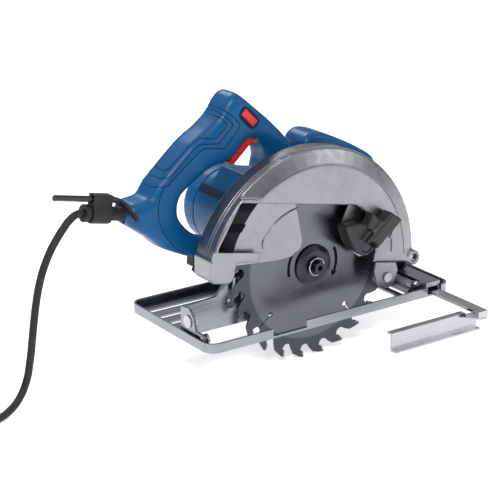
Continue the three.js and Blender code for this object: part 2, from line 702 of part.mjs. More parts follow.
function handleBody() {
  const { middle, half, bevel } = HANDLE;
  const outline = smoothShape(HANDLE_OUTLINE, HANDLE.samples);
  const body = slab(outline, middle - half, middle + half, bevel, 3);
  const seat = slab(caseShape(GAP), 0, HOUSING_Y.plate + GAP);
  const barrel = rodY(MOTOR.radius + GAP, 50, 80, MOTOR.u, MOTOR.w, 48);
  const top = slab(topOutline(0.5), 40, 114);
  const room = slab(
    shapeOf([
      [-84, 112], [-94, 98], [-106, 93], [-120, 82], [-132, 72], [-146, 76], [-136, 94], [-116, 114],
      [-104, 128], [-88, 122],
    ]),
    middle - 12, middle + 12,
  );
  const triggerSlot = slab(
    shapeOf([
      [-62.5, 108.5], [-63, 104.5], [-70, 103.7], [-81.3, 88.6], [-84, 85], [-91, 84.6], [-94.5, 87],
      [-98, 91.5], [-95, 97], [-80, 119], [-72, 119], [-64, 113],
    ]),
    middle - TRIGGER_HALF - 0.4, middle + TRIGGER_HALF + 0.4,
  );
  const buttonHole = slab(shapeOf(buttonOutline(0.4)), middle - 30, middle + 30);
  const cableBore = rodU(4.4, -196, -136, middle, CABLE_W);
  const gland = rodU(7.9, -196, -180, middle, CABLE_W);
  return cut(body, seat, barrel, top, room, triggerSlot, buttonHole, cableBore, gland);
}

function buttonOutline(grow) {
  const middle = [-80.2, 131.2];
  const along = [0.83, -0.56];
  const across = [0.56, 0.83];
  const corners = [[-1, -1], [1, -1], [1, 1], [-1, 1]];
  return corners.map(([a, b]) => {
    const far = a * (9.5 + grow);
    const wide = b * (4 + grow);
    return [middle[0] + far * along[0] + wide * across[0], middle[1] + far * along[1] + wide * across[1]];
  });
}

const handle = handleBody();
place(unit, "handle_near_shell", handle.intersect(box(-300, 100, 0, HANDLE.middle - 0.15, -50, 200)), BLUE);
place(unit, "handle_far_shell", handle.intersect(box(-300, 100, HANDLE.middle + 0.15, 90, -50, 200)), BLUE);

function trigger() {
  const blade = shapeOf([
    [-70, 112], [-63.5, 107.8], [-64.4, 105.5], [-70.5, 104.7], [-82, 89.4], [-84.5, 86], [-90.2, 85.8],
    [-92.6, 87.4], [-90, 91.5], [-76, 112], [-72, 113.5],
  ]);
  const stem = shapeOf([[-78, 107], [-86, 95], [-93, 99], [-85, 111.5]]);
  const { middle } = HANDLE;
  return join(
    slab(blade, middle - TRIGGER_HALF, middle + TRIGGER_HALF, 1.2, 1),
    slab(stem, middle - 4, middle + 4),
  );
}
place(unit, "trigger", trigger(), RED);
place(
  unit, "lock_button",
  slab(shapeOf(buttonOutline(0)), HANDLE.middle - HANDLE.half - 1.5, HANDLE.middle - 6, 1.2, 1), RED,
);
place(
  unit, "switch_body",
  slab(
    shapeOf([
      [-102, 106], [-110, 98.5], [-120, 89], [-130, 81], [-137, 85], [-127, 97], [-113, 111], [-105, 117],
    ]),
    HANDLE.middle - 9, HANDLE.middle + 9,
  ),
  BLACK,
);

// ---- front grip ---------------------------------------------------------------------
function frontGrip() {
  const outline = smoothShape(
    [
      [-12, 110], [-4, 119.5], [8, 120.5], [34, 115], [62, 106.5], [78, 99], [82, 90], [72, 82],
      [50, 80], [38, 70], [36, 50], [26, 40], [6, 46], [2, 70], [-6, 92],
    ],
    36,
  );
  const body = slab(outline, 27, 63, 6, 3);
  const seat = slab(caseShape(GAP), 0, HOUSING_Y.plate + GAP);
  const barrel = rodY(MOTOR.radius + GAP, 50, 80, MOTOR.u, MOTOR.w, 48);
  const top = slab(topOutline(0.5), 40, 114);
  return cut(body, seat, barrel, top, slab(smoothShape(HANDLE_OUTLINE, HANDLE.samples), 20, 70));
}
place(unit, "front_grip", frontGrip(), BLUE);

// ---- fasteners and small controls ---------------------------------------------------
place(
  unit, "spindle_lock_button",
  join(
    rodU(3, 22, 33.5, LOCK_Y, 0),
    rodU(5.5, 33, 37.5, LOCK_Y, 0),
  ),
  BLACK,
);

function depthLever() {
  const { u, w } = DEPTH_BOLT;
  const hub = rodY(8, 15.4, 19.5, u, w);
  const arm = slab(shapeOf([[u, w + 6], [u, w - 6], [-118, -14], [-124, -10], [-122, -4]]), 15.4, 19.5);
  return cut(join(hub, arm), rodY(3.3, 10, 30, u, w));
}
place(unit, "depth_lever", depthLever(), BLACK);

const HANDLE_SCREWS = [[-97, 128], [-150, 66], [-150, 22]];
HANDLE_SCREWS.forEach(([u, w], index) => {
  place(unit, `handle_screw_${index + 1}`, rodY(3.5, 62.8, 64.8, u, w), DARK_STEEL);
});

// ---- cable sleeve, key and cord -----------------------------------------------------
function cableSleeve() {
  const profile = [
    [4, 0], [7.5, 0], [7.5, 9], [6.6, 12], [6.1, 40], [5.9, 45], [8, 45.5], [8, 49.8], [4, 49.8],
  ];
  return turnedX(profile, -180.6, HANDLE.middle, CABLE_W);
}
place(unit, "cable_sleeve", cableSleeve(), RUBBER);

function keyClip() {
  const { middle } = HANDLE;
  const ring = cut(
    rodU(9.4, -224, -204, middle, CABLE_W), rodU(6.9, -230, -200, middle, CABLE_W),
  );
  const block = box(-224, -204, middle - 5.4, middle + 5.4, CABLE_W + 7.5, KEY_W + 4.6);
  return cut(join(ring, block), rodU(3.3, -234, -194, middle, KEY_W));
}
place(unit, "key_clip", keyClip(), RUBBER);

function hexKey() {
  const path = new THREE.CurvePath();
  const bend = 9;
  const long = new THREE.Vector3(-262, HANDLE.middle, KEY_W);
  const before = new THREE.Vector3(-196 - bend, HANDLE.middle, KEY_W);
  const corner = new THREE.Vector3(-196, HANDLE.middle, KEY_W);
  const after = new THREE.Vector3(-194, HANDLE.middle - bend, KEY_W - 3);
  const end = new THREE.Vector3(-190, HANDLE.middle - 25, KEY_W - 12);
  path.add(new THREE.LineCurve3(long, before));
  path.add(new THREE.QuadraticBezierCurve3(before, corner, after));
  path.add(new THREE.LineCurve3(after, end));
  const hexagon = new THREE.Shape();
  for (let k = 0; k < 6; k += 1) {
    const angle = (k * Math.PI) / 3;
    const point = [2.9 * Math.cos(angle), 2.9 * Math.sin(angle)];
    if (k === 0) hexagon.moveTo(...point);
    else hexagon.lineTo(...point);
  }
  return solid(new THREE.ExtrudeGeometry(hexagon, { steps: 24, extrudePath: path, bevelEnabled: false }));
}
place(unit, "hex_key", hexKey(), BLACK);

function ribbedTube(points, radius, steps, sides = 8) {
  const route = points.map((point) => new THREE.Vector3(...point));
  const path = new THREE.CatmullRomCurve3(route, false, "centripetal");
  const section = new THREE.Shape();
  for (let k = 0; k < sides; k += 1) {
    const angle = (2 * Math.PI * k) / sides;
    const point = [radius * Math.cos(angle), radius * Math.sin(angle)];
    if (k === 0) section.moveTo(...point);
    else section.lineTo(...point);
  }
  return solid(new THREE.ExtrudeGeometry(section, { steps, extrudePath: path, bevelEnabled: false }));
}

// The cord's free stretch: out of the sleeve, down to the standing surface, then along it.
const LIE = FLOOR + CORD_RADIUS;
const CORD_ROUTE = [
  [-219, 45, 80.4], [-225, 45, 80.2], [-232, 45, 76.5], [-239, 45, 69.5], [-246, 45, 61],
  [-252.5, 45, 51.5], [-258, 45, 41], [-262.5, 45, 30], [-267, 45, 14], [-270.5, 45, -4],
  [-273.5, 45, -24], [-277, 45, -46], [-282, 44, -64], [-291, 42, -78], [-304, 38, -85.6],
  [-320, 32, LIE], [-338, 24, LIE], [-352, 17.5, LIE], [-365.6, 14.5, LIE],
];
place(saw, "cord_tube", ribbedTube(CORD_ROUTE, CORD_RADIUS, 30), RUBBER);

function cordCoil() {
  const half = COIL.turns * CORD_RADIUS;
  const inner = COIL.middle - half;
  const outer = COIL.middle + half;
  const profile = [[inner, 0], [outer, 0], [outer, 2 * half], [inner, 2 * half]];
  const ring = latheGeometry(profile, 28).rotateX(Math.PI / 2);
  return solid(ring.translate(COIL.x, COIL.y, FLOOR));
}
place(saw, "cord_coil", cordCoil(), RUBBER);

// The end of the cord and its two-pin plug lie on top of the coil.
const COIL_TOP = FLOOR + 2 * COIL.turns * CORD_RADIUS + GAP;
const PLUG = { back: 3, front: -31, half: 12, thick: 9, rise: 12.2 };
const TAIL_ROUTE = [
  [19.2, 33.3, 3.5], [29.5, 24.7, 3.5], [36.2, 13.2, 3.5], [38.5, 0, 3.5], [36.2, -13.2, 4],
  [30, -25, 6.2], [21.5, -33.5, 9.4], [12.5, -38, 11.8], [3.6, -38.5, 12.2],
].map(([x, y, z]) => [COIL.x + x, COIL.y + y, COIL_TOP + z]);
place(saw, "cord_tail", ribbedTube(TAIL_ROUTE, CORD_RADIUS, 12), RUBBER);

function plugBody() {
  const { back, front, half } = PLUG;
  const neck = back - 12;
  const shoulder = back - 16;
  const outline = shapeOf([
    [back, 5.5], [neck, 7], [shoulder, half], [front + 3, half], [front, half - 3], [front, 3 - half],
    [front + 3, -half], [shoulder, -half], [neck, -7], [back, -5.5],
  ]);
  const bevel = 2.5;
  const geometry = new THREE.ExtrudeGeometry(outline, {
    depth: 2 * (PLUG.thick - bevel),
    bevelThickness: bevel,
    bevelSize: bevel,
    bevelOffset: -bevel,
    bevelSegments: 2,
  });
  geometry.translate(COIL.x, COIL.y - COIL.middle, COIL_TOP + PLUG.rise - PLUG.thick + bevel);
  return solid(geometry);
}

function plugPin(side) {
  const y = COIL.y - COIL.middle + side * 6.35;
  const z = COIL_TOP + PLUG.rise;
  const start = COIL.x + PLUG.front - GAP;
  return box(start - 17, start, y - 0.8, y + 0.8, z - 3.2, z + 3.2);
}

place(saw, "plug_body", plugBody(), BLACK);
place(saw, "plug_pin_1", plugPin(1), BRASS);
place(saw, "plug_pin_2", plugPin(-1), BRASS);

export default whole;
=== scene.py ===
"""Corded hand-held circular saw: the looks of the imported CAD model.

Lengths given as mm are turned to metres by the helpers. Places on the motor unit are
(u, y, w): u forward, y across, w up, from the blade's centre, pitched nose-down with the unit.
"""
import bpy
import bmesh
from math import cos, pi, radians, sin
from mathutils import Matrix, Vector


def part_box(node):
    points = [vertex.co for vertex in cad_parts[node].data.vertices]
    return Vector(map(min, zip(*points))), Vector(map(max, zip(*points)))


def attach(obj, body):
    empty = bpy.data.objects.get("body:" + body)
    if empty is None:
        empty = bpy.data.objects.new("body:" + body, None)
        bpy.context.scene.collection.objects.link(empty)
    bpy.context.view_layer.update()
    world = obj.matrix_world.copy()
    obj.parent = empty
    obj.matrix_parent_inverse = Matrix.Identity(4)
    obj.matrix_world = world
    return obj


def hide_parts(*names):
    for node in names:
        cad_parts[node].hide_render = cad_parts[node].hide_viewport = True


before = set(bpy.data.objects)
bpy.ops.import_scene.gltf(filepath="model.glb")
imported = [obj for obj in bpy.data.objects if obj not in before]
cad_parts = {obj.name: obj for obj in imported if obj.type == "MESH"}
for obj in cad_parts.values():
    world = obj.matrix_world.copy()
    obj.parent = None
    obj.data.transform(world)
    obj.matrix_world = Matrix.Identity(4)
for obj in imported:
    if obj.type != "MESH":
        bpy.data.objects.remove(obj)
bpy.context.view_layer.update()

MM = 0.001


def middle(node):
    low, high = (Vector(corner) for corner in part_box(node))
    return (low + high) / 2


BLADE_MIDDLE = middle("saw_blade")
HUB = Vector((middle("outer_flange").x, BLADE_MIDDLE.y, middle("outer_flange").z))
UNIT_PITCH = radians(11.5)
UNIT = Matrix.Translation(HUB) @ Matrix.Rotation(UNIT_PITCH, 4, "Y") @ Matrix.Scale(MM, 4)
SAW = Matrix.Translation(HUB) @ Matrix.Scale(MM, 4)

# ---- camera ---------------------------------------------------------------------------
CAMERA_AZIMUTH = radians(-35.14)
CAMERA_ELEVATION = radians(19.49)
CAMERA_DISTANCE = 1.598
CAMERA_LENS = 126.07
CAMERA_TARGET = HUB + Vector((-71.2, 0, 28.9)) * MM


def add_camera():
    data = bpy.data.cameras.new("camera")
    data.lens = CAMERA_LENS
    data.sensor_width = 36
    data.clip_start = 0.05
    camera = bpy.data.objects.new("camera", data)
    bpy.context.scene.collection.objects.link(camera)
    away = Vector((
        sin(CAMERA_AZIMUTH) * cos(CAMERA_ELEVATION),
        -cos(CAMERA_AZIMUTH) * cos(CAMERA_ELEVATION),
        sin(CAMERA_ELEVATION),
    ))
    camera.location = CAMERA_TARGET + away * CAMERA_DISTANCE
    camera.rotation_euler = (-away).to_track_quat("-Z", "Y").to_euler()
    bpy.context.scene.camera = camera


add_camera()


# ---- materials --------------------------------------------------------------------------
# A noise's values lie mostly in this range, which ramp() and ranged() spread over their results.
NOISE_RANGE = (0.3, 0.7)


class Nodes:
    """A new material's node tree, with short calls for the nodes that are used here."""

    def __init__(self, name):
        self.material = bpy.data.materials.new(name)
        self.material.use_nodes = True
        self.tree = self.material.node_tree
        self.shader = self.tree.nodes["Principled BSDF"]
        self.place = self.tree.nodes.new("ShaderNodeTexCoord").outputs["Object"]

    def add(self, kind, **settings):
        node = self.tree.nodes.new(kind)
        for key, value in settings.items():
            setattr(node, key, value)
        return node

    def link(self, output, socket):
        self.tree.links.new(output, socket)

    def feed(self, name, output):
        """The output drives the shader's socket of that name."""
        self.link(output, self.shader.inputs[name])

    def stretched(self, scale):
        node = self.add("ShaderNodeMapping")
        node.inputs["Scale"].default_value = scale
        self.link(self.place, node.inputs["Vector"])
        return node.outputs["Vector"]

    def math(self, operation, *values):
        """A math node's result: each value is a number or another node's output."""
        node = self.add("ShaderNodeMath", operation=operation)
        for socket, value in zip(node.inputs, values):
            if isinstance(value, (int, float)):
                socket.default_value = value
            else:
                self.link(value, socket)
        return node.outputs[0]

    def noise(self, place, scale, detail=3.0):
        node = self.add("ShaderNodeTexNoise")
        node.inputs["Scale"].default_value = scale
        node.inputs["Detail"].default_value = detail
        self.link(place, node.inputs["Vector"])
        return node.outputs["Fac"]

    def ramp(self, factor, low, high):
        node = self.add("ShaderNodeValToRGB")
        first, last = node.color_ramp.elements
        first.position, last.position = NOISE_RANGE
        first.color, last.color = (*low, 1), (*high, 1)
        self.link(factor, node.inputs["Fac"])
        return node.outputs["Color"]

    def ranged(self, factor, low, high):
        node = self.add("ShaderNodeMapRange")
        node.inputs["From Min"].default_value = NOISE_RANGE[0]
        node.inputs["From Max"].default_value = NOISE_RANGE[1]
        node.inputs["To Min"].default_value = low
        node.inputs["To Max"].default_value = high
        self.link(factor, node.inputs["Value"])
        return node.outputs["Result"]

    def bump(self, height, strength, depth):
        node = self.add("ShaderNodeBump")
        node.inputs["Strength"].default_value = strength
        node.inputs["Distance"].default_value = depth
        self.link(height, node.inputs["Height"])
        self.feed("Normal", node.outputs["Normal"])

    def set(self, **values):
        for name, value in values.items():
            self.shader.inputs[name.replace("_", " ")].default_value = value


def shade(colour, factor):
    return tuple(min(1.0, channel * factor) for channel in colour)


def moulded_plastic(name, colour, roughness, grain=0.12, specular=0.5):
    nodes = Nodes(name)
    nodes.set(IOR=1.5, Specular_IOR_Level=specular)
    cloud = nodes.noise(nodes.place, 28.0)
    nodes.feed("Base Color", nodes.ramp(cloud, shade(colour, 0.86), shade(colour, 1.14)))
    rubbed = nodes.noise(nodes.place, 90.0, 5.0)
    nodes.feed("Roughness", nodes.ranged(rubbed, roughness - 0.05, roughness + 0.08))
    nodes.bump(nodes.noise(nodes.place, 2600.0, 2.0), grain, 0.0001)
    return nodes.material


def cast_alloy(name, colour, roughness):
    nodes = Nodes(name)
    nodes.set(Metallic=1.0)
    cloud = nodes.noise(nodes.place, 22.0, 4.0)
    nodes.feed("Base Color", nodes.ramp(cloud, shade(colour, 0.9), shade(colour, 1.06)))
    rubbed = nodes.noise(nodes.place, 140.0, 6.0)
    nodes.feed("Roughness", nodes.ranged(rubbed, roughness - 0.05, roughness + 0.07))
    nodes.bump(nodes.noise(nodes.place, 1900.0, 3.0), 0.16, 0.0001)
    return nodes.material


def brushed_metal(name, colour, roughness, along="X"):
    """Metal with fine lines along one axis."""
    nodes = Nodes(name)
    nodes.set(Metallic=1.0)
    fine = {"X": (6, 420, 420), "Y": (420, 6, 420)}[along]
    lines = nodes.noise(nodes.stretched(fine), 3.0, 4.0)
    cloud = nodes.noise(nodes.place, 16.0, 4.0)
    both = nodes.math("MULTIPLY_ADD", lines, 0.5, nodes.math("MULTIPLY", cloud, 0.5))
    nodes.feed("Base Color", nodes.ramp(both, shade(colour, 0.78), shade(colour, 1.1)))
    nodes.feed("Roughness", nodes.ranged(lines, roughness - 0.07, roughness + 0.1))
    nodes.bump(lines, 0.12, 0.00008)
    return nodes.material


RIM_TINT = (0.55, 0.56, 0.6)


def ground_disc(name, colour, roughness, middle_point, rim_start, rim_end):
    """Steel ground in rings about a Y axis, darker from rim_start outwards (both in metres)."""
    nodes = Nodes(name)
    nodes.set(Metallic=1.0, Anisotropic=0.75)
    split = nodes.add("ShaderNodeSeparateXYZ")
    moved = nodes.add("ShaderNodeVectorMath", operation="SUBTRACT")
    nodes.link(nodes.place, moved.inputs[0])
    moved.inputs[1].default_value = tuple(middle_point)
    nodes.link(moved.outputs["Vector"], split.inputs[0])
    squares = [nodes.math("MULTIPLY", split.outputs[axis], split.outputs[axis]) for axis in "XZ"]
    reach = nodes.math("SQRT", nodes.math("ADD", *squares))
    ring_place = nodes.add("ShaderNodeCombineXYZ")
    nodes.link(reach, ring_place.inputs["X"])
    rings = nodes.noise(ring_place.outputs[0], 1500.0, 3.0)
    cloud = nodes.noise(nodes.place, 30.0, 4.0)
    tone = nodes.ramp(rings, shade(colour, 0.82), shade(colour, 1.1))
    rim = nodes.add("ShaderNodeMapRange", interpolation_type="SMOOTHSTEP")
    rim.inputs["From Min"].default_value = rim_start
    rim.inputs["From Max"].default_value = rim_end
    nodes.link(reach, rim.inputs["Value"])
    mix = nodes.add("ShaderNodeMix", data_type="RGBA", blend_type="MULTIPLY")
    nodes.link(rim.outputs["Result"], mix.inputs["Factor"])
    nodes.link(tone, mix.inputs["A"])
    mix.inputs["B"].default_value = (*RIM_TINT, 1)
    nodes.feed("Base Color", mix.outputs["Result"])
    nodes.feed("Roughness", nodes.ranged(cloud, roughness - 0.05, roughness + 0.08))
    nodes.bump(rings, 0.1, 0.00005)
    around = nodes.add("ShaderNodeVectorMath", operation="CROSS_PRODUCT")
    nodes.link(moved.outputs["Vector"], around.inputs[0])
    around.inputs[1].default_value = (0, 1, 0)
    along = nodes.add("ShaderNodeVectorMath", operation="NORMALIZE")
    nodes.link(around.outputs["Vector"], along.inputs[0])
    nodes.feed("Tangent", along.outputs["Vector"])
    return nodes.material


def soft_rubber(name, colour):
    nodes = Nodes(name)
    nodes.set(IOR=1.45)
    cloud = nodes.noise(nodes.place, 60.0, 4.0)
    nodes.feed("Base Color", nodes.ramp(cloud, shade(colour, 0.7), shade(colour, 1.5)))
    nodes.feed("Roughness", nodes.ranged(cloud, 0.5, 0.7))
    nodes.bump(nodes.noise(nodes.place, 1400.0, 2.0), 0.1, 0.0001)
    return nodes.material


BLUE = moulded_plastic("blue plastic", (0.001, 0.082, 0.23), 0.32, specular=0.25)
# Painted shade: this dark blue draws the shade in the grip's grooves, the handle's creases, the lock
# button's recess and the motor's groove.
SHADE_NAVY = moulded_plastic("painted shade dark blue", (0.001, 0.016, 0.055), 0.45, specular=0.2)
RED = moulded_plastic("red plastic", (0.62, 0.02, 0.015), 0.32, 0.05)
BLACK = moulded_plastic("black plastic", (0.012, 0.013, 0.015), 0.42)
RUBBER = soft_rubber("rubber", (0.012, 0.012, 0.013))
CAST = cast_alloy("satin cast alloy", (0.3, 0.305, 0.32), 0.34)
CASE = cast_alloy("gear case alloy", (0.32, 0.33, 0.35), 0.42)
PRESSED = brushed_metal("pressed sheet", (0.31, 0.32, 0.345), 0.28)
PLATED = brushed_metal("plated steel", (0.5, 0.5, 0.51), 0.22, "Y")
FENCE = brushed_metal("plated sheet", (0.48, 0.48, 0.5), 0.25)
DARK_STEEL = brushed_metal("blackened steel", (0.06, 0.062, 0.07), 0.35, "Y")
BLADE = ground_disc("ground blade steel", (0.14, 0.146, 0.16), 0.26, HUB, 0.071, 0.0735)
CARBIDE = brushed_metal("carbide", (0.13, 0.13, 0.14), 0.3, "Y")
BRASS = brushed_metal("brass", (0.62, 0.45, 0.18), 0.28, "X")
COPPER = brushed_metal("enamelled copper", (0.55, 0.24, 0.1), 0.32, "Y")
# Black for the printed turning arrows, and painted shade for the gap in the guard's window.
PRINT_AND_SHADE_BLACK = moulded_plastic("black print and painted shade", (0.004, 0.004, 0.005), 0.6, 0.02, specular=0.05)

NODE_MATERIALS = {
    BLUE: ["motor_housing", "motor_end_cap", "handle_near_shell", "handle_far_shell", "front_grip"],
    RED: ["trigger", "lock_button"],
    BLACK: [
        "bevel_lock_lever", "guide_wing_screw", "retract_lever", "switch_body", "spindle_lock_button",
        "depth_lever", "cooling_fan", "plug_body",
    ],
    RUBBER: ["cable_sleeve", "key_clip"],
    CAST: ["upper_guard", "guard_bracket", "lower_guard"],
    CASE: ["gear_case"],
    PRESSED: ["base_plate", "guide_tunnel", "front_quadrant", "bevel_frame"],
    FENCE: ["guide_fence"],
    PLATED: [
        "guide_bar", "front_bevel_pin", "rear_bevel_pin", "rear_ear_bolt", "bevel_lock_bolt",
        "depth_pivot_pin", "bracket_rivet", "spindle_shaft", "drive_gear", "spindle_bearing_front",
        "spindle_bearing_rear", "armature_shaft", "armature_bearing_front", "armature_bearing_rear",
    ],
    DARK_STEEL: [
        "depth_bolt", "lever_screw", "outer_flange", "inner_flange", "blade_bolt", "stator", "hex_key",
        "handle_screw_1", "handle_screw_2", "handle_screw_3",
    ],
    BLADE: ["saw_blade"],
    BRASS: ["commutator", "brush_holder_upper", "brush_holder_lower", "plug_pin_1", "plug_pin_2"],
    COPPER: ["armature_core"],
}


SHARP_DEG = 38
FLAT_DEG = 0.6


def dress(node, material, edge_mm):
    """A CAD node's material and smooth shading. With an edge_mm, its flat faces are merged and
    its sharp edges eased by that much."""
    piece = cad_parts[node]
    for holder in piece.material_slots:
        holder.material = material
    if not piece.material_slots:
        piece.data.materials.append(material)
    piece.data.shade_smooth()
    piece.data.set_sharp_from_angle(angle=radians(SHARP_DEG))
    if edge_mm:
        flat = piece.modifiers.new("flat faces", "DECIMATE")
        flat.decimate_type = "DISSOLVE"
        flat.angle_limit = radians(FLAT_DEG)
        ease(piece, edge_mm)


def ease(piece, edge_mm):
    eased = piece.modifiers.new("eased edges", "BEVEL")
    eased.width = edge_mm * MM
    eased.segments = 2
    eased.limit_method = "ANGLE"
    eased.angle_limit = radians(SHARP_DEG)
    flattened = piece.modifiers.new("flat faces stay flat", "WEIGHTED_NORMAL")
    flattened.keep_sharp = True


def soften(piece, grid_mm, rounds, shrink_mm=0):
    """A moulding's soft edges: its surface rebuilt on an even grid, then relaxed."""
    grid = piece.modifiers.new("even grid", "REMESH")
    grid.mode = "VOXEL"
    grid.voxel_size = grid_mm * MM
    grid.use_smooth_shade = True
    if shrink_mm:
        clearance = piece.modifiers.new("clearance", "DISPLACE")
        clearance.mid_level = 0
        clearance.strength = -shrink_mm * MM
    relaxed = piece.modifiers.new("relaxed", "SMOOTH")
    relaxed.factor = 0.5
    relaxed.iterations = rounds


EDGES_MM = {
    "gear_case": 1.0, "base_plate": 0.6, "bevel_frame": 0.5, "guide_tunnel": 0.4,
    "guide_bar": 0.4, "guide_fence": 0.4, "guard_bracket": 0.4, "depth_bolt": 0.4,
    "outer_flange": 0.4, "blade_bolt": 0.4, "lower_guard": 0.3, "lever_screw": 0.3,
    "saw_blade": 0.12,
}
# Pieces shown with soft edges: the grid's pitch in mm, how many rounds it is relaxed, and how
# many mm the surface is drawn in, where that isn't 0.
SOFTENED = {
    "upper_guard": (1.2, 4), "front_grip": (1.3, 14), "motor_housing": (1.2, 8),
    "motor_end_cap": (1.2, 8), "retract_lever": (1.0, 7), "trigger": (0.8, 5, 0.35),
    "lock_button": (0.7, 4), "key_clip": (0.8, 7), "plug_body": (0.8, 8),
    "depth_lever": (0.8, 4), "bevel_lock_lever": (0.7, 3), "guide_wing_screw": (0.7, 4),
}
for material, names in NODE_MATERIALS.items():
    for name in names:
        if name in SOFTENED:
            dress(name, material, 0)
            soften(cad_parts[name], *SOFTENED[name])
        else:
            dress(name, material, EDGES_MM.get(name, 0))


# ---- mesh helpers -------------------------------------------------------------------------
def finish_piece(piece, material, body):
    piece.data.materials.append(material)
    bpy.context.scene.collection.objects.link(piece)
    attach(piece, body)
    return piece


def mesh_piece(name, points, faces, material, body):
    """A mesh from points in the unit's frame, its faces turned outwards."""
    mesh = bpy.data.meshes.new(name)
    mesh.from_pydata([UNIT @ Vector(point) for point in points], [], faces)
    tidy = bmesh.new()
    tidy.from_mesh(mesh)
    bmesh.ops.recalc_face_normals(tidy, faces=tidy.faces)
    tidy.to_mesh(mesh)
    tidy.free()
    mesh.shade_smooth()
    mesh.set_sharp_from_angle(angle=radians(SHARP_DEG))
    return finish_piece(bpy.data.objects.new(name, mesh), material, body)


def plate(outline, y0, y1):
    """A flat plate's points and faces: outline holds (u, w), and it fills y0 to y1."""
    count = len(outline)
    points = [(u, y, w) for y in (y0, y1) for u, w in outline]
    faces = [tuple(range(count)), tuple(range(2 * count - 1, count - 1, -1))]
    faces += [(k, (k + 1) % count, count + (k + 1) % count, count + k) for k in range(count)]
    return points, faces


def joined(parts):
    points = []
    faces = []
    for part_points, part_faces in parts:
        start = len(points)
        points += part_points
        faces += [tuple(start + k for k in face) for face in part_faces]
    return points, faces


def wire(
    name, points, radius_mm, material, body="motor_unit",
    place=UNIT, resolution=3, closed=False,
):
    """A round wire through the points, as a smooth curve."""
    data = bpy.data.curves.new(name, "CURVE")
    data.dimensions = "3D"
    data.bevel_depth = radius_mm * MM
    data.bevel_resolution = resolution
    data.resolution_u = 6
    data.use_fill_caps = True
    spline = data.splines.new("BEZIER")
    spline.bezier_points.add(len(points) - 1)
    for knot, point in zip(spline.bezier_points, points):
        knot.co = place @ Vector(point)
        knot.handle_left_type = knot.handle_right_type = "AUTO"
    spline.use_cyclic_u = closed
    return finish_piece(bpy.data.objects.new(name, data), material, body)


# ---- cord ---------------------------------------------------------------------------------
CORD_RADIUS = 3.5
FLOOR = -91.2
LIE = FLOOR + CORD_RADIUS
CORD_ROUTE = [
    (-219, 45, 80.4), (-225, 45, 80.2), (-232, 45, 76.5), (-239, 45, 69.5), (-246, 45, 61),
    (-252.5, 45, 51.5), (-258, 45, 41), (-262.5, 45, 30), (-267, 45, 14), (-270.5, 45, -4),
    (-273.5, 45, -24), (-277, 45, -46), (-282, 44, -64), (-291, 42, -78), (-304, 38, -85.6),
    (-320, 32, LIE), (-338, 24, LIE), (-352, 17.5, LIE), (-365.6, 14.5, LIE),
]
COIL_MIDDLE = (-392, 60)
LAYER_RADII = (45.5, 38.5, 31.5)
TURN_RADII = [*LAYER_RADII, *reversed(LAYER_RADII), *LAYER_RADII]
COIL_START = radians(-60)
COIL_TURNS = 8 + 2 / 3
TURN_STEPS = 24
# A turn moves over to the next one's place in its last part.
SHIFT_START = 0.45
SHIFT_LENGTH = 0.55
ENTRY_RADIUS = 52.6
ENTRY_TURNS = 0.3
TAIL_RADIUS = 38.4
TAIL_LAYER = 3.04
TAIL_TURNS = 0.32
COIL_TOP = FLOOR + 3 * 2 * CORD_RADIUS + 0.3
TAIL_ROUTE = [
    (19.2, 33.3, 3.5), (29.5, 24.7, 3.5), (36.2, 13.2, 3.5), (38.5, 0, 3.5), (36.2, -13.2, 4),
    (30, -25, 6.2), (21.5, -33.5, 9.4), (12.5, -38, 11.8), (3.6, -38.5, 12.2),
]


def smooth_step(part):
    part = max(0.0, min(1.0, part))
    return part * part * (3 - 2 * part)


def coil_points():
    """Three layers of three turns, wound clockwise from above, then up to the tail."""
    points = []
    for step in range(1, int(COIL_TURNS * TURN_STEPS)):
        turn = step / TURN_STEPS
        whole = min(int(turn), len(TURN_RADII) - 1)
        following = min(whole + 1, len(TURN_RADII) - 1)
        part = smooth_step((turn - whole - SHIFT_START) / SHIFT_LENGTH)
        radius = TURN_RADII[whole] + (TURN_RADII[following] - TURN_RADII[whole]) * part
        layer = whole // 3 + (following // 3 - whole // 3) * part
        radius += (ENTRY_RADIUS - TURN_RADII[0]) * (1 - smooth_step(turn / ENTRY_TURNS))
        rise = smooth_step((turn - COIL_TURNS + TAIL_TURNS) / TAIL_TURNS)
        radius += (TAIL_RADIUS - radius) * rise
        layer += (TAIL_LAYER - layer) * rise
        angle = COIL_START - 2 * pi * turn
        points.append((
            COIL_MIDDLE[0] + radius * cos(angle),
            COIL_MIDDLE[1] + radius * sin(angle),
            LIE + 2 * CORD_RADIUS * layer,
        ))
    return points


def add_cord():
    tail = [(COIL_MIDDLE[0] + x, COIL_MIDDLE[1] + y, COIL_TOP + z) for x, y, z in TAIL_ROUTE]
    route = CORD_ROUTE + coil_points() + tail
    cord = wire("cord", route, CORD_RADIUS, RUBBER, "motor_unit", SAW, 4)
    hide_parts("cord_tube", "cord_coil", "cord_tail")


add_cord()


# ---- blade: carbide tips and turning arrows -------------------------------------------------
TOOTH_COUNT = 24
FIRST_TOOTH = radians(-145.9)
BLADE_HALF = 0.9
TIP_HALF = 1.25
# One tip's corners, from the blade's centre: how far out, and how many degrees ahead.
TIP_CORNERS = [(92.3, -0.15), (85.2, -1.25), (85.6, 0.15), (91.7, 1.5)]
ARROW_STARTS_DEG = (155, -12)
ARROW_TURN_DEG = 50
ARROW_STEPS = 14


def carbide_tips():
    parts = []
    for k in range(TOOTH_COUNT):
        corners = []
        for reach, ahead in TIP_CORNERS:
            angle = FIRST_TOOTH + 2 * pi * k / TOOTH_COUNT + radians(ahead)
            corners.append((reach * cos(angle), reach * sin(angle)))
        parts.append(plate(corners, -TIP_HALF, TIP_HALF))
    points, faces = joined(parts)
    tips = mesh_piece("carbide_tips", points, faces, CARBIDE, "spindle")
    ease(tips, 0.2)


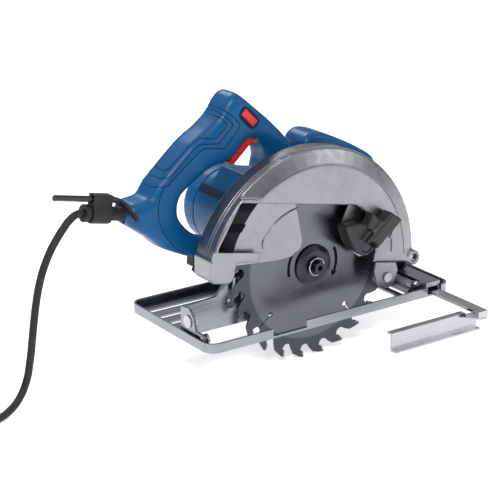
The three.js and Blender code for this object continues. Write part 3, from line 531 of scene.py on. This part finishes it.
def turning_arrows():
    """Two printed arrows that show which way the blade turns."""
    parts = []
    y0, y1 = -BLADE_HALF - 0.12, -BLADE_HALF - 0.01
    for first in ARROW_STARTS_DEG:
        arc = [radians(first + ARROW_TURN_DEG * k / ARROW_STEPS) for k in range(ARROW_STEPS + 1)]
        inner = [(26.5 * cos(a), 26.5 * sin(a)) for a in arc]
        outer = [(29.5 * cos(a), 29.5 * sin(a)) for a in reversed(arc)]
        parts.append(plate(inner + outer, y0, y1))
        tip = arc[0] - radians(11)
        head = [(24 * cos(arc[0]), 24 * sin(arc[0])), (32 * cos(arc[0]), 32 * sin(arc[0]))]
        head.append((28 * cos(tip), 28 * sin(tip)))
        parts.append(plate(head, y0, y1))
    points, faces = joined(parts)
    mesh_piece("turning_arrows", points, faces, PRINT_AND_SHADE_BLACK, "spindle")


carbide_tips()
turning_arrows()


def circle(radius, y, count=24):
    turns = [2 * pi * k / count for k in range(count)]
    return [(radius * cos(a), y, radius * sin(a)) for a in turns]


wire("bolt_ring", circle(8.3, -7.5), 0.8, PLATED, "spindle", closed=True)


# ---- upper guard: beads round its rim and a cast arrow ----------------------------------------
GUARD_MIDDLE = (-8, -7)
GUARD_RADIUS = 122
FACE_BEAD_RADIUS = 107
GUARD_FACE = -18


def round_guard(radius, y, first_deg, turn_deg, steps):
    """Points on an arc about the guard's middle."""
    turns = [radians(first_deg + turn_deg * k / steps) for k in range(steps + 1)]
    u, w = GUARD_MIDDLE
    return [(u + radius * cos(a), y, w + radius * sin(a)) for a in turns]


def guard_beads():
    for number, y in enumerate((-8.6, -5.2), 1):
        wire(f"guard_bead_{number}", round_guard(GUARD_RADIUS, y, 8, 164, 40), 0.75, CAST)


def cast_arrow():
    outline = [
        (75.8, 39.7), (73.5, 31.2), (76.4, 31.2), (79.4, 17.5), (83.3, 17.5), (80, 31.2), (82.6, 31.2),
    ]
    points, faces = plate(outline, GUARD_FACE - 1.2, GUARD_FACE + 0.3)
    ease(mesh_piece("guard_arrow", points, faces, CAST, "motor_unit"), 0.2)


def guard_face_bead():
    """The ridge where the guard's flat face meets its sloping edge."""
    ridge = round_guard(FACE_BEAD_RADIUS, GUARD_FACE, 12, 121, 32)
    ridge += [(-86, GUARD_FACE, 67.3), (-98, GUARD_FACE, 67.1), (-109.5, GUARD_FACE, 66.9)]
    wire("guard_face_bead", ridge, 0.65, CAST)


guard_beads()
guard_face_bead()
cast_arrow()


# ---- rear handle: one skin over its two shells --------------------------------------------------
HANDLE_SPLIT = SAW @ Vector((0, 45, 0))


def handle_skin():
    """Both shells as one smooth moulding; their joint's faces are pushed into each other."""
    overlap = 0.6 * MM
    merged = bmesh.new()
    for node, towards in (("handle_near_shell", 1), ("handle_far_shell", -1)):
        start = len(merged.verts)
        merged.from_mesh(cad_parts[node].data)
        merged.verts.ensure_lookup_table()
        for vertex in merged.verts[start:]:
            if abs(vertex.co.y - HANDLE_SPLIT.y) < overlap:
                vertex.co.y += towards * overlap
    mesh = bpy.data.meshes.new("handle_skin")
    merged.to_mesh(mesh)
    merged.free()
    skin = finish_piece(bpy.data.objects.new("handle_skin", mesh), BLUE, "motor_unit")
    soften(skin, 1.4, 22)
    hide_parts("handle_near_shell", "handle_far_shell")
    return skin


HANDLE = handle_skin()


SKIN_STEP_MM = 3.0


def on_skin(skin, points, closed=False):
    """The line through the points (in the unit's frame) laid on a skin's surface."""
    shown = skin.evaluated_get(bpy.context.evaluated_depsgraph_get())
    route = [UNIT @ Vector(point) for point in points]
    if closed:
        route.append(route[0])
    back = UNIT.inverted()
    laid = []
    for start, end in zip(route, route[1:]):
        steps = max(1, round((end - start).length / (SKIN_STEP_MM * MM)))
        for k in range(steps):
            found, place, _, _ = shown.closest_point_on_mesh(start.lerp(end, k / steps))
            laid.append(tuple(back @ place))
    return laid


# The three lines pressed round the grip, on its near half: (u, y, w) each, top to bottom. Their dark
# colour is painted shade in the grooves.
GRIP_LINES = [
    [
        (-111, 42.5, 129.5), (-108.5, 30.5, 128), (-104, 27.8, 124), (-105, 27.6, 120.5),
        (-114.5, 27.6, 110.3), (-128.5, 32.5, 108.5), (-132.5, 33.5, 105.5), (-154.5, 34.8, 79.5),
        (-157.2, 38, 77),
    ],
    [
        (-109, 39, 133.3), (-103.5, 28.2, 129), (-97.7, 27.5, 124.4), (-99, 27.5, 120.4),
        (-109.6, 27.5, 106), (-128.3, 29, 104.4), (-133.2, 29.6, 100.8), (-152.4, 29.4, 76.3),
        (-157.3, 30.6, 72), (-162, 37, 70.2),
    ],
    [
        (-107.4, 36.4, 136.6), (-99, 27.7, 131.6), (-89.6, 27.5, 124.8), (-90.6, 27.5, 119.7),
        (-102.7, 27.5, 101.8), (-124, 27.6, 101), (-129.7, 27.8, 97), (-151.2, 28, 72.7),
        (-156.5, 28, 66), (-162.7, 30, 63.7), (-167.4, 38.3, 62),
    ],
]
HANDLE_MIDDLE = 45
# The crease round the handle's lower part, on its near half; it is drawn as a dark line of painted
# shade.
CREASE = [
    (-159.7, 29, 65.6), (-163.2, 28.3, 55.8), (-164, 27.6, 44.3), (-161, 27.5, 32.5), (-153, 27.6, 20.7),
    (-140, 28.4, 9.2), (-122.2, 31.8, 0.4),
]


def mirrored(points):
    """The same points on the handle's far half, in the reverse order."""
    return [(u, 2 * HANDLE_MIDDLE - y, w) for u, y, w in reversed(points)]


def handle_lines():
    # Painted shade: each pressed line is a dark wire laid round the grip.
    for number, near in enumerate(GRIP_LINES, 1):
        loop = on_skin(HANDLE, near + mirrored(near), closed=True)
        wire(
            f"grip_groove_shade_{number}", loop, 0.42, SHADE_NAVY, resolution=2, closed=True,
        )
    # Painted shade along each crease, as a dark line on each half.
    for side, points in (("near", CREASE), ("far", mirrored(CREASE))):
        line = on_skin(HANDLE, points)
        wire(f"handle_crease_shade_{side}", line, 0.4, SHADE_NAVY, resolution=2)


# The lock button's outline: its middle, its two directions and half its size along each, in (u, w).
BUTTON = {
    "middle": (-80.2, 131.2), "along": (0.83, -0.56), "across": (0.56, 0.83), "half": (9.5, 4),
}
SQUARENESS = 0.45


def button_outline(grow, count=32):
    """A rounded oblong as large as the lock button and grow mm more: (u, w) points."""
    outline = []
    for k in range(count):
        turn = 2 * pi * k / count
        reach = [abs(c) ** SQUARENESS * (1 if c > 0 else -1) for c in (cos(turn), sin(turn))]
        long_way, short_way = (part * (half + grow) for part, half in zip(reach, BUTTON["half"]))
        outline.append(tuple(
            BUTTON["middle"][k] + long_way * BUTTON["along"][k] + short_way * BUTTON["across"][k]
            for k in range(2)
        ))
    return outline


def button_pieces():
    """Painted shade of the recess round the lock button's opening, as dark rims, and the button's far
    end, which moves with it.
    """
    for side, y in (("near", 27.6), ("far", 62.4)):
        rim = [(u, y, w) for u, w in button_outline(1.1)]
        wire(f"button_recess_shade_{side}", rim, 1.0, SHADE_NAVY, closed=True)
    points, faces = plate(button_outline(-0.5), 54, 61.6)
    far_end = mesh_piece("lock_button_far_end", points, faces, RED, "lock_button")
    ease(far_end, 0.8)


def strip(name, outline, y0, y1, material, edge_mm):
    """A flat strip on the motor unit: outline holds (u, w), and it fills y0 to y1."""
    points, faces = plate(outline, y0, y1)
    ease(mesh_piece(name, points, faces, material, "motor_unit"), edge_mm)


def arc_band(centre, inner, outer, first_deg, last_deg, steps=12):
    turns = [radians(first_deg + (last_deg - first_deg) * k / steps) for k in range(steps + 1)]
    ring = [(centre[0] + outer * cos(a), centre[1] + outer * sin(a)) for a in turns]
    return ring + [(centre[0] + inner * cos(a), centre[1] + inner * sin(a)) for a in reversed(turns)]


MOTOR_MIDDLE = (-17.4, 25.5)
GAP_RIB = [
    (-99, 88), (-110, 84), (-121.5, 75.5), (-131, 66), (-140.5, 56), (-142.5, 46), (-140, 34),
    (-131, 36.5), (-133, 45), (-131.5, 52), (-124.5, 59.5), (-116, 68), (-107, 75.5), (-99, 79.5),
]
HANDLE_FOOT = [(-108.5, -3), (-98, -3), (-98.5, -14.5), (-107.5, -13.5)]
MOTOR_GROOVE_SHADE = arc_band(MOTOR_MIDDLE, 39.5, 41.2, 147, 160)
GUARD_LIP = [(-129.5, 16.2), (-77.5, 16.3), (-78.4, 8.7), (-130, 8.4)]
WINDOW_GAP_SHADE = [(-113.5, 42), (-96.5, 42), (-100, 34.5), (-116, 34.5)]
LOWER_GUARD_FACE = -11.9
LOWER_BEAD = [(-70, 18.7), (-71.3, 25), (-68, 31), (-61.6, 41.6), (-50.4, 51.4), (-38.5, 57.5)]

handle_lines()
button_pieces()
# Painted shade in the groove between the motor's upper block and its round body, as a dark strip.
strip("motor_groove_shade", MOTOR_GROOVE_SHADE, 56, 123, SHADE_NAVY, 0.3)
strip("gap_rib", GAP_RIB, 47, 58, BLUE, 0.8)
strip("handle_foot", HANDLE_FOOT, 39, 51, RUBBER, 1)
strip("guard_lip", GUARD_LIP, -18.2, -17.6, CAST, 0.1)
# Painted shade: a black plate in the guard's window, where the gap there looks black.
strip("window_gap_shade", WINDOW_GAP_SHADE, -15.4, -13.4, PRINT_AND_SHADE_BLACK, 0.3)
lower_bead = [(u, LOWER_GUARD_FACE, w) for u, w in LOWER_BEAD]
wire("lower_guard_bead", lower_bead, 0.8, CAST, "lower_guard")


# ---- stage ------------------------------------------------------------------------------------
def add_floor():
    """A pale floor, which glows a little so that it reads as studio white."""
    size = 14.0
    mesh = bpy.data.meshes.new("floor")
    corners = [(-size, -size, 0), (size, -size, 0), (size, size, 0), (-size, size, 0)]
    mesh.from_pydata(corners, [], [(0, 1, 2, 3)])
    floor = bpy.data.objects.new("floor", mesh)
    floor.location.z = HUB.z + FLOOR * MM
    nodes = Nodes("pale floor")
    cloud = nodes.noise(nodes.place, 3.0)
    nodes.feed("Base Color", nodes.ramp(cloud, (0.93, 0.93, 0.93), (0.95, 0.95, 0.95)))
    nodes.set(Roughness=0.9, Emission_Color=(1, 1, 1, 1), Emission_Strength=0.55)
    mesh.materials.append(nodes.material)
    bpy.context.scene.collection.objects.link(floor)


def add_area(name, location, size, power):
    data = bpy.data.lights.new(name, "AREA")
    data.shape = "DISK"
    data.size = size
    data.energy = power
    light = bpy.data.objects.new(name, data)
    light.location = location
    light.rotation_euler = (HUB - Vector(location)).to_track_quat("-Z", "Y").to_euler()
    bpy.context.scene.collection.objects.link(light)


def add_world():
    world = bpy.data.worlds.new("studio")
    world.use_nodes = True
    bpy.context.scene.world = world
    tree = world.node_tree
    place = tree.nodes.new("ShaderNodeTexCoord")
    split = tree.nodes.new("ShaderNodeSeparateXYZ")
    ramp = tree.nodes.new("ShaderNodeValToRGB")
    first, last = ramp.color_ramp.elements
    first.position, first.color = 0.0, (0.04, 0.045, 0.055, 1)
    last.position, last.color = 0.75, (1, 1, 1, 1)
    tree.links.new(place.outputs["Generated"], split.inputs[0])
    tree.links.new(split.outputs["Z"], ramp.inputs["Fac"])
    background = tree.nodes["Background"]
    background.inputs["Strength"].default_value = 0.75
    tree.links.new(ramp.outputs["Color"], background.inputs["Color"])


add_floor()
add_world()
add_area("key", (-1.1, -1.0, 1.7), 0.6, 20)
add_area("fill", (1.6, -1.4, 1.0), 0.8, 6)
add_area("back", (0.2, 1.6, 1.8), 0.7, 16)
bpy.context.scene.view_settings.view_transform = "Standard"
